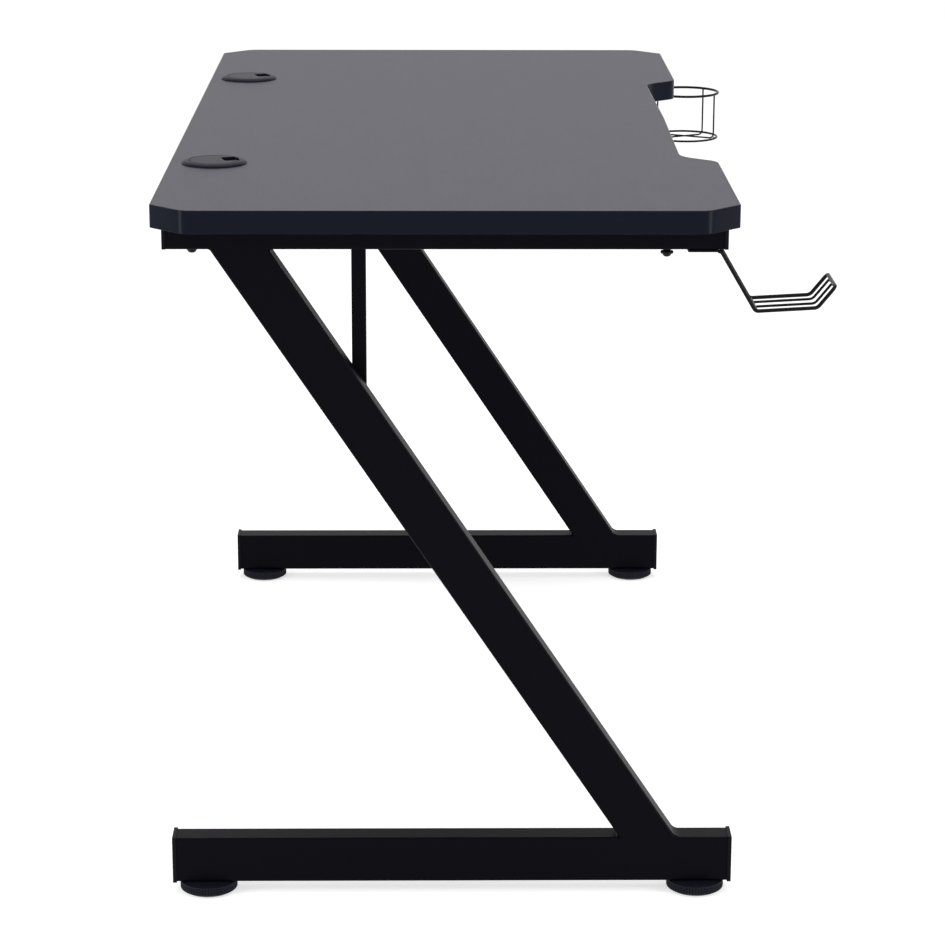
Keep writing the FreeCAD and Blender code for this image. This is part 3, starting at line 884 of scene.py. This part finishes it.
@dataclass
class WireWork:
    """Headphone hook and cup holder: coated wire on powder-coated plates, spot-welded where wires meet."""

    nodes: Nodes
    blob_radius: float = 1.7 * MM
    end_reach: float = 0.6 * MM
    bead_pitch: float = 2.0 * MM

    def build(self) -> None:
        """Dress the wires and plates and set the spot welds."""
        coat = DIPPED.build()
        plate_coat = POWDER.build()
        for name, node in self.nodes.items():
            if name.startswith(("hook_", "cup_holder_")) and not name.endswith("_screws"):
                dress(node, plate_coat if name.endswith("_plate") else coat)
        spots = self.hook_points() + self.cup_points() + self.tab_points()
        values = {"Radius": self.blob_radius, "Seed": SEED, "Material": coat}
        welds = blob_tree().bake("wire_welds", guide_points("wire_weld_points", spots), values)
        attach(welds, "desk")

    def ends(self, name: str, axis: int, level: float) -> list[Vector]:
        """Middles of the two wire ends that lie at one level.

        Args:
            name: CAD node with two such ends.
            axis: 0, 1 or 2 for X, Y or Z.
            level: Coordinate of the ends on that axis.

        Returns:
            The two points in the row frame.
        """
        points = points_near(self.nodes[name], axis, level, self.end_reach)
        middle = sum(points, Vector()) / len(points)
        lead = points[0] - middle
        groups = [[point for point in points if way * (point - middle).dot(lead) > 0] for way in (1, -1)]
        return [sum(group, Vector()) / len(group) for group in groups]

    def hook_points(self) -> list[Vector]:
        """Spots at the ends of the loop, the corner bar and the inner wires.

        Returns:
            Points in the row frame.
        """
        bar_low, bar_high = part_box("hook_corner_bar")
        inner_low, inner_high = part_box("hook_inner_wires")
        spots = self.ends("hook_loop", 1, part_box("hook_loop")[1].y)
        spots += self.ends("hook_inner_wires", 1, inner_low.y)
        middle = (bar_low + bar_high) / 2
        wire = (bar_high.z - bar_low.z) / 2
        xs = (bar_low.x, bar_high.x, inner_low.x + wire, inner_high.x - wire)
        return spots + [Vector((x, middle.y, middle.z)) for x in xs]

    def cup_points(self) -> list[Vector]:
        """Places where the two U wires touch the insides of the rings.

        Returns:
            Points in the row frame.
        """
        base_low, base_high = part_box("cup_holder_base_ring")
        base = (base_low + base_high) / 2
        wall = (base_high.z - base_low.z) / 2
        inside = (base_high.x - base_low.x) / 2 - 2 * wall
        spots = []
        for name in ("cup_holder_upper_wire", "cup_holder_lower_wire"):
            for tip in self.ends(name, 2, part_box(name)[1].z):
                away = Vector((tip.x - base.x, tip.y - base.y, 0)).normalized() * inside
                spots += [Vector((base.x, base.y, z)) + away for z in (tip.z, base.z)]
        return spots

    def tab_points(self) -> list[Vector]:
        """A row of spots where the top ring is welded under its plate.

        Returns:
            Points in the row frame.
        """
        ring_low, ring_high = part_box("cup_holder_top_ring")
        plate_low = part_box("cup_holder_plate")[0]
        centre = (ring_low + ring_high) / 2
        radius = (ring_high.x - ring_low.x) / 2 - (ring_high.z - ring_low.z) / 2
        start = math.pi / 2
        stop = math.pi - math.asin((plate_low.y - centre.y) / radius)
        count = int((stop - start) * radius / self.bead_pitch)
        turns = [start + (stop - start) * index / count for index in range(count + 1)]
        arms = [Vector((math.cos(turn), math.sin(turn), 0)) * radius for turn in turns]
        return [Vector((centre.x, centre.y, plate_low.z)) + arm for arm in arms]


@dataclass
class Mouldings:
    """End caps of the tubes and the levelling feet: grained black plastic."""

    nodes: Nodes

    def build(self) -> None:
        """Dress every cap and foot."""
        skins = {"_cap": CAP_PLASTIC.build(), "_foot": FOOT_PLASTIC.build()}
        for ending, skin in skins.items():
            for name, node in self.nodes.items():
                if name.endswith(ending):
                    dress(node, skin)


@dataclass
class CableGrommets:
    """Two rings with turning covers, in black plastic; each ring's flange is domed down to the board."""

    nodes: Nodes
    flange_tall: float = 4.0 * MM
    dome_tall: float = 3.4 * MM
    dome_steps: int = 10
    lip: float = 0.6 * MM
    liner_outer: float = 29.8 * MM
    liner_inner: float = 27.5 * MM
    ledge_inner: float = 24.5 * MM
    ledge_top: float = 0.9 * MM
    ledge_low: float = -1.1 * MM
    steps: int = 96
    merge: float = 0.001 * MM

    def build(self) -> None:
        """Dress the covers and put domed rings in the place of the CAD rings."""
        skin = GROMMET_ABS.build()
        for side in Side:
            dress(self.nodes[f"{side.value}_grommet_cover"], skin)
            node = f"{side.value}_grommet_ring"
            ring = self.domed_ring(node)
            dress(ring, skin)
            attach(ring, "desk")
            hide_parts(node)

    def domed_ring(self, node: str) -> bpy.types.Object:
        """Turn a ring where a CAD ring is.

        Args:
            node: Name of the CAD ring.

        Returns:
            The new ring.
        """
        low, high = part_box(node)
        centre = (low + high) / 2
        board = high.z - self.flange_tall
        profile = self.ring_profile((high.x - low.x) / 2, board - low.z)
        shape = turn_profile(profile, self.steps, self.merge)
        bmesh.ops.translate(shape, verts=shape.verts, vec=Vector((centre.x, centre.y, board)))
        ring = close_shape(shape, f"{node}_domed")
        soften(ring.data)
        return ring

    def ring_profile(self, rim: float, deep: float) -> Profile:
        """Section of a ring: the liner's outside, the domed flange, and the bore with the cover's ledge.

        Args:
            rim: Radius of the flange.
            deep: How far the liner goes below the board's face.

        Returns:
            Radius and height above the board of each corner, back to the first.
        """
        crown = self.liner_inner + self.lip
        foot = self.flange_tall - self.dome_tall
        profile = [(self.liner_inner, -deep), (self.liner_outer, -deep), (self.liner_outer, 0), (rim, 0)]
        for step in range(self.dome_steps + 1):
            rise = math.pi / 2 * step / self.dome_steps
            radius = crown + (rim - crown) * math.cos(rise)
            profile.append((radius, foot + self.dome_tall * math.sin(rise)))
        profile += [
            (self.liner_inner, self.flange_tall - self.lip),
            (self.liner_inner, self.ledge_top),
            (self.ledge_inner, self.ledge_top),
            (self.ledge_inner, self.ledge_low),
            (self.liner_inner, self.ledge_low),
            (self.liner_inner, -deep),
        ]
        return profile


@dataclass
class Studs:
    """Threaded studs of the feet and the nuts that hold them."""

    nodes: Nodes
    pitch: float = 1.25 * MM

    def build(self) -> None:
        """Put a threaded stud in the place of each plain CAD stud."""
        plating = ZINC.build()
        dress(self.nodes["foot_nuts"], plating)
        dress(self.nodes["brace_nuts"], plating)
        threads = thread_tree()
        for side in Side:
            for place in Place:
                node = f"{side.value}_{place.value}_stud"
                low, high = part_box(node)
                base = Vector(((low.x + high.x) / 2, (low.y + high.y) / 2, low.z))
                length = high.z - low.z
                values = {
                    "Diameter": high.x - low.x,
                    "Pitch": self.pitch,
                    "Length": length,
                    "Turns": length / self.pitch,
                    "Material": plating,
                }
                piece = threads.bake(f"{node}_threaded", guide_points(f"{node}_point", [base]), values)
                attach(piece, node)
                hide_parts(node)


@dataclass(kw_only=True)
class Screw:
    """A turned head with a driver recess, and the stub of its shank; the seat is at height zero."""

    name: str
    shank: float
    drive: Drive
    drive_wide: float
    drive_deep: float
    sideways: bool = False
    blade_share: float = 0.1
    stub: float = 4.0 * MM
    steps: int = 24
    merge: float = 0.001 * MM

    def head_profile(self) -> Profile:
        """Radius and height of the head's corners, from its middle below to its seat."""
        raise NotImplementedError

    @property
    def tall(self) -> float:
        """How far the head reaches below its seat."""
        return -min(height for _, height in self.head_profile())

    def build(self) -> bpy.types.Object:
        """Turn the screw about Z, with its shank upward, and cut the recess into its lower end.

        Returns:
            A loose object to be repeated and then removed.
        """
        half = self.shank / 2
        profile = self.head_profile() + [(half, self.stub), (0, self.stub)]
        screw = close_shape(turn_profile(profile, self.steps, self.merge), self.name)
        cutter = self.recess()
        cut = screw.modifiers.new("recess", "BOOLEAN")
        cut.object = cutter
        cut.operation = "DIFFERENCE"
        cut.solver = "EXACT"
        graph = bpy.context.evaluated_depsgraph_get()
        screw.data = bpy.data.meshes.new_from_object(screw.evaluated_get(graph))
        screw.modifiers.clear()
        bpy.data.objects.remove(cutter)
        self.clean(screw.data)
        return screw

    def clean(self, mesh: bpy.types.Mesh) -> None:
        """Split a cut mesh into triangles and drop those without area.

        Args:
            mesh: The mesh, which is changed.
        """
        shape = bmesh.new()
        shape.from_mesh(mesh)
        bmesh.ops.remove_doubles(shape, verts=shape.verts, dist=self.merge)
        bmesh.ops.triangulate(shape, faces=shape.faces)
        bmesh.ops.dissolve_degenerate(shape, dist=self.merge, edges=shape.edges)
        bmesh.ops.triangulate(shape, faces=shape.faces)
        shape.to_mesh(mesh)
        shape.free()

    def recess(self) -> bpy.types.Object:
        """Make the driver's shape at the head's lower end.

        Returns:
            A loose object that is cut out of the head.
        """
        half = self.drive_wide / 2
        if self.drive is Drive.HEXAGON:
            turns = [math.pi * index / 3 for index in range(6)]
            outline = [Vector((half * math.cos(turn), half * math.sin(turn), 0)) for turn in turns]
        else:
            blade = self.drive_wide * self.blade_share
            arm = [Vector((half, -blade, 0)), Vector((half, blade, 0)), Vector((blade, blade, 0))]
            quarters = [Matrix.Rotation(math.pi * index / 2, 3, "Z") for index in range(4)]
            outline = [quarter @ point for quarter in quarters for point in arm]
        below = Vector((0, 0, -self.tall - self.drive_deep))
        shape = bmesh.new()
        add_prism(shape, [point + below for point in outline], Vector((0, 0, 2 * self.drive_deep)))
        return close_shape(shape, f"{self.name}_recess")


@dataclass(kw_only=True)
class ProudScrew(Screw):
    """A head that stands on its seat, with corners at shares of its radius and of its height."""

    head: float
    head_tall: float
    shares: Shares

    def head_profile(self) -> Profile:
        """Corners of the head at its shares."""
        half = self.head / 2
        return [(half * out, -self.head_tall * down) for out, down in self.shares] + [(self.shank / 2, 0)]


@dataclass(kw_only=True)
class PanScrew(ProudScrew):
    """Pan head: a short wall and a cone to a small flat, with the corners broken."""

    drive: Drive = Drive.CROSS
    shares: Shares = ((0, 1), (0.54, 1), (0.66, 0.93), (0.96, 0.48), (1, 0.38), (1, 0))


@dataclass(kw_only=True)
class FlangedScrew(Screw):
    """A neck, a rounded flange below it and a domed head below that."""

    neck: float
    neck_tall: float
    flange: float
    flange_tall: float
    dome: float
    dome_tall: float
    drive: Drive = Drive.CROSS

    def head_profile(self) -> Profile:
        """Corners of the dome, the flange and the neck.

        Returns:
            Radius and height of each corner.
        """
        flange_low = self.neck_tall + self.flange_tall
        dome_shares = [(0, 1), (0.58, 0.97), (0.9, 0.6), (1, 0)]
        flange_shares = [(0.94, 1), (1, 0.7), (1, 0.3), (0.94, 0)]
        dome = [(self.dome / 2 * out, -flange_low - self.dome_tall * down) for out, down in dome_shares]
        rim = self.flange / 2
        flange = [(rim * out, -self.neck_tall - self.flange_tall * down) for out, down in flange_shares]
        neck = [(self.neck / 2, -self.neck_tall), (self.neck / 2, 0), (self.shank / 2, 0)]
        return dome + flange + neck


@dataclass(kw_only=True)
class SunkScrew(Screw):
    """Countersunk head whose face is its seat."""

    head: float
    cone: float
    drive: Drive = Drive.CROSS

    def head_profile(self) -> Profile:
        """Corners of the cone."""
        return [(0, 0), (self.head / 2, 0), (self.shank / 2, self.cone)]


@dataclass(kw_only=True)
class ButtonBolt(ProudScrew):
    """Low button head with a hexagon socket, whose shank points out to the nearer end of the desk."""

    drive: Drive = Drive.HEXAGON
    sideways: bool = True
    shares: Shares = ((0, 1), (0.6, 0.97), (0.87, 0.68), (1, 0.23), (1, 0))


@dataclass
class Fasteners:
    """Every screw of the desk, drawn with its recess in the place of the plain CAD screws."""

    nodes: Nodes
    apart: float = 20 * MM

    def build(self) -> None:
        """Repeat each kind of screw at the places of its CAD node."""
        plating = BLACK_OXIDE.build()
        tree = screw_tree()
        for node, kind in self.kinds().items():
            screw = kind.build()
            points, axes = self.places(node, kind)
            guide = guide_points(f"{node}_points", points, axes)
            values = {"Screw": screw, "Seed": SEED, "Material": plating}
            piece = tree.bake(f"{node}_detailed", guide, values)
            bpy.data.objects.remove(screw)
            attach(piece, "desk")
            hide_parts(node)

    @staticmethod
    def kinds() -> dict[str, Screw]:
        """The kinds of screw, with the sizes of the CAD nodes.

        Returns:
            CAD node name, to the screw that stands for it.
        """
        small_cross = {"drive_wide": 4.5 * MM, "drive_deep": 1.3 * MM}
        cross = {"drive_wide": 5.5 * MM, "drive_deep": 1.8 * MM}
        sunk = {"shank": 5.0 * MM, "head": 9.5 * MM, "cone": 2.4 * MM}
        beam = {"shank": 4.0 * MM, "head": 9.0 * MM, "head_tall": 2.5 * MM}
        rear = {"shank": 5.0 * MM, "head": 11.0 * MM, "head_tall": 5.5 * MM}
        return {
            "beam_screws": PanScrew(name="beam_screw", **beam, **small_cross),
            "top_bar_rear_screws": PanScrew(name="bar_screw", **rear, **cross),
            "top_bar_front_screws": FlangedScrew(
                name="bar_flange_screw",
                shank=5.0 * MM,
                neck=7.4 * MM,
                neck_tall=3.8 * MM,
                flange=13.4 * MM,
                flange_tall=2.6 * MM,
                dome=9.2 * MM,
                dome_tall=3.3 * MM,
                **small_cross,
            ),
            "hook_screws": SunkScrew(name="hook_screw", **sunk, **small_cross),
            "cup_holder_screws": SunkScrew(name="cup_screw", **sunk, **small_cross),
            "brace_bolts": ButtonBolt(
                name="brace_bolt",
                shank=6.0 * MM,
                head=12.0 * MM,
                head_tall=3.5 * MM,
                drive_wide=4.6 * MM,
                drive_deep=2.0 * MM,
            ),
        }

    def places(self, node: str, kind: Screw) -> tuple[list[Vector], list[Vector]]:
        """Seat and direction of each screw in a CAD node.

        Args:
            node: CAD node that holds a group of screws.
            kind: The screw that stands for them.

        Returns:
            The seats in the row frame, and for each the way its shank points.
        """
        points = []
        axes = []
        for group in self.islands(node):
            low = Vector([min(point[axis] for point in group) for axis in range(3)])
            high = Vector([max(point[axis] for point in group) for axis in range(3)])
            seat = (low + high) / 2
            if kind.sideways:
                way = Vector((math.copysign(1, seat.x), 0, 0))
                seat.x = low.x if way.x > 0 else high.x
            else:
                way = Vector((0, 0, 1))
                seat.z = low.z
            points.append(seat + way * kind.tall)
            axes.append(way)
        return points, axes

    def islands(self, node: str) -> list[list[Vector]]:
        """Split the vertices of a group of screws into one list for each.

        Args:
            node: CAD node whose screws stand well apart.

        Returns:
            A list of points for each screw.
        """
        groups: list[list[Vector]] = []
        for vertex in self.nodes[node].data.vertices:
            for group in groups:
                if (group[0].xy - vertex.co.xy).length < self.apart:
                    group.append(vertex.co.copy())
                    break
            else:
                groups.append([vertex.co.copy()])
        return groups


@dataclass(frozen=True)
class Softbox:
    """An area light that faces a point."""

    name: str
    place: tuple[float, float, float]
    aim: tuple[float, float, float]
    wide: float
    tall: float
    power: float

    def hang(self) -> None:
        """Put the light into the scene, out of the camera's sight."""
        data = bpy.data.lights.new(self.name, "AREA")
        data.shape = "RECTANGLE"
        data.size = self.wide
        data.size_y = self.tall
        data.energy = self.power
        light = bpy.data.objects.new(self.name, data)
        light.location = self.place
        light.rotation_euler = (Vector(self.aim) - Vector(self.place)).to_track_quat("-Z", "Y").to_euler()
        light.visible_camera = False
        bpy.context.scene.collection.objects.link(light)


@dataclass
class Studio:
    """Plain pale floor, soft light from above and from two strips, and the photograph's camera."""

    floor_size: float = 40.0
    floor_tone: str = "#f2f2f2"
    floor_glow: float = 0.62
    ambient: float = 0.42
    strip_aside: float = 2.1
    lens: float = 114.219
    sensor: float = 36.0
    sight: float = 100.0
    eye: tuple[float, float, float] = (-3.56098, 0.06171, 1.30903)
    yaw: float = math.radians(-0.7639)
    pitch: float = math.radians(15.6754)
    roll: float = math.radians(0.1654)

    def build(self) -> None:
        """Set up floor, world, lights, camera and view."""
        self.floor()
        self.world()
        for light in self.lights():
            light.hang()
        self.camera()
        bpy.context.scene.view_settings.view_transform = "Standard"

    def lights(self) -> list[Softbox]:
        """A box above the desk and a tall strip at its rear and its front.

        Returns:
            The lights, not yet in the scene.
        """
        above = (0.3, 0.0, 3.6)
        boxes = [Softbox("overhead_softbox", place=above, aim=(0, 0, 0), wide=3.2, tall=3.2, power=58)]
        for name, aside in (("rear_strip", self.strip_aside), ("front_strip", -self.strip_aside)):
            place = (-1.6, aside, 0.9)
            boxes.append(Softbox(name, place=place, aim=(-0.5, 0, 0.75), wide=0.6, tall=1.8, power=20))
        return boxes

    @staticmethod
    def seen(tree: bpy.types.NodeTree) -> bpy.types.NodeSocket:
        """One for rays from the camera, and for those that mirror or pass through something.

        Args:
            tree: Node tree of the floor or the world.

        Returns:
            The factor, 0 or 1.
        """
        path = add_node(tree, "ShaderNodeLightPath").outputs
        inputs = {0: path["Is Camera Ray"], 1: path["Is Glossy Ray"]}
        either = add_node(tree, "ShaderNodeMath", inputs, operation="MAXIMUM")
        inputs = {0: either.outputs[0], 1: path["Is Transmission Ray"]}
        return add_node(tree, "ShaderNodeMath", inputs, operation="MAXIMUM").outputs[0]

    def floor(self) -> None:
        """Lay a pale floor that glows a little to the eye, so that it stays white but keeps the shadow.

        Its lower side is clear, so that the desk can be seen from below.
        """
        half = self.floor_size / 2
        corners = [(-half, -half, 0), (half, -half, 0), (half, half, 0), (-half, half, 0)]
        mesh = bpy.data.meshes.new("studio_floor")
        mesh.from_pydata(corners, [], [(0, 1, 2, 3)])
        floor = mesh_object("studio_floor", mesh)
        material = bpy.data.materials.new("studio_paper")
        material.use_nodes = True
        tree = material.node_tree
        tree.nodes.clear()
        matte = add_node(tree, "ShaderNodeBsdfDiffuse", {"Color": srgb(self.floor_tone)})
        inputs = {0: self.seen(tree), 1: self.floor_glow}
        strength = add_node(tree, "ShaderNodeMath", inputs, operation="MULTIPLY")
        glow = add_node(tree, "ShaderNodeEmission", {"Strength": strength.outputs[0]})
        paper = add_node(tree, "ShaderNodeAddShader", {0: matte.outputs[0], 1: glow.outputs[0]})
        below = add_node(tree, "ShaderNodeNewGeometry").outputs["Backfacing"]
        clear = add_node(tree, "ShaderNodeBsdfTransparent")
        inputs = {0: below, 1: paper.outputs[0], 2: clear.outputs[0]}
        sided = add_node(tree, "ShaderNodeMixShader", inputs)
        add_node(tree, "ShaderNodeOutputMaterial", {"Surface": sided.outputs[0]})
        dress(floor, material)
        floor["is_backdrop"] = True

    def world(self) -> None:
        """Surround the desk with white that lights it softly."""
        world = bpy.data.worlds.new("studio_white")
        bpy.context.scene.world = world
        world.use_nodes = True
        tree = world.node_tree
        tree.nodes.clear()
        inputs = {"Value": self.seen(tree), "To Min": self.ambient, "To Max": 1.0}
        strength = add_node(tree, "ShaderNodeMapRange", inputs)
        white = add_node(tree, "ShaderNodeBackground", {"Strength": strength.outputs["Result"]})
        white.inputs["Color"].default_value = (1, 1, 1, 1)
        add_node(tree, "ShaderNodeOutputWorld", {"Surface": white.outputs[0]})

    def camera(self) -> None:
        """Place the camera that was fitted to the photograph."""
        data = bpy.data.cameras.new("photo_camera")
        data.lens = self.lens
        data.sensor_width = self.sensor
        data.clip_end = self.sight
        camera = bpy.data.objects.new("photo_camera", data)
        level = math.cos(self.pitch)
        ahead = Vector((math.cos(self.yaw) * level, math.sin(self.yaw) * level, -math.sin(self.pitch)))
        flat_right = Vector((math.sin(self.yaw), -math.cos(self.yaw), 0))
        flat_up = flat_right.cross(ahead)
        right = flat_right * math.cos(self.roll) + flat_up * math.sin(self.roll)
        up = flat_up * math.cos(self.roll) - flat_right * math.sin(self.roll)
        turn = Matrix((right, up, -ahead)).transposed().to_4x4()
        camera.matrix_world = Matrix.Translation(self.eye) @ turn
        bpy.context.scene.collection.objects.link(camera)
        bpy.context.scene.camera = camera


def note_size(sizes: dict[str, list[list[float]]], moment: str) -> None:
    """Args:
        sizes: The boxes so far, which gains this one.
        moment: Name of the moment.
    """
    low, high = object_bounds()
    sizes[moment] = [list(low), list(high)]


def main() -> None:
    """Load the frame, build and dress every sub-assembly, and set up the studio."""
    logging.basicConfig(level=logging.INFO, format="%(name)s: %(message)s")
    bpy.ops.wm.read_factory_settings(use_empty=True)
    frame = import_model()
    sizes: dict[str, list[list[float]]] = {}
    note_size(sizes, "cad")
    nodes: Nodes = frame["nodes"]
    parts = [
        Worktop(nodes),
        SteelFrame(nodes),
        WireWork(nodes),
        Mouldings(nodes),
        CableGrommets(nodes),
        Studs(nodes),
        Fasteners(nodes),
    ]
    for part in parts:
        part.build()
        LOG.info("built %s", type(part).__name__)
    Studio().build()
    note_size(sizes, "visual")
    LOG.info("boxes %s", sizes)


if __name__ == "__main__":
    main()
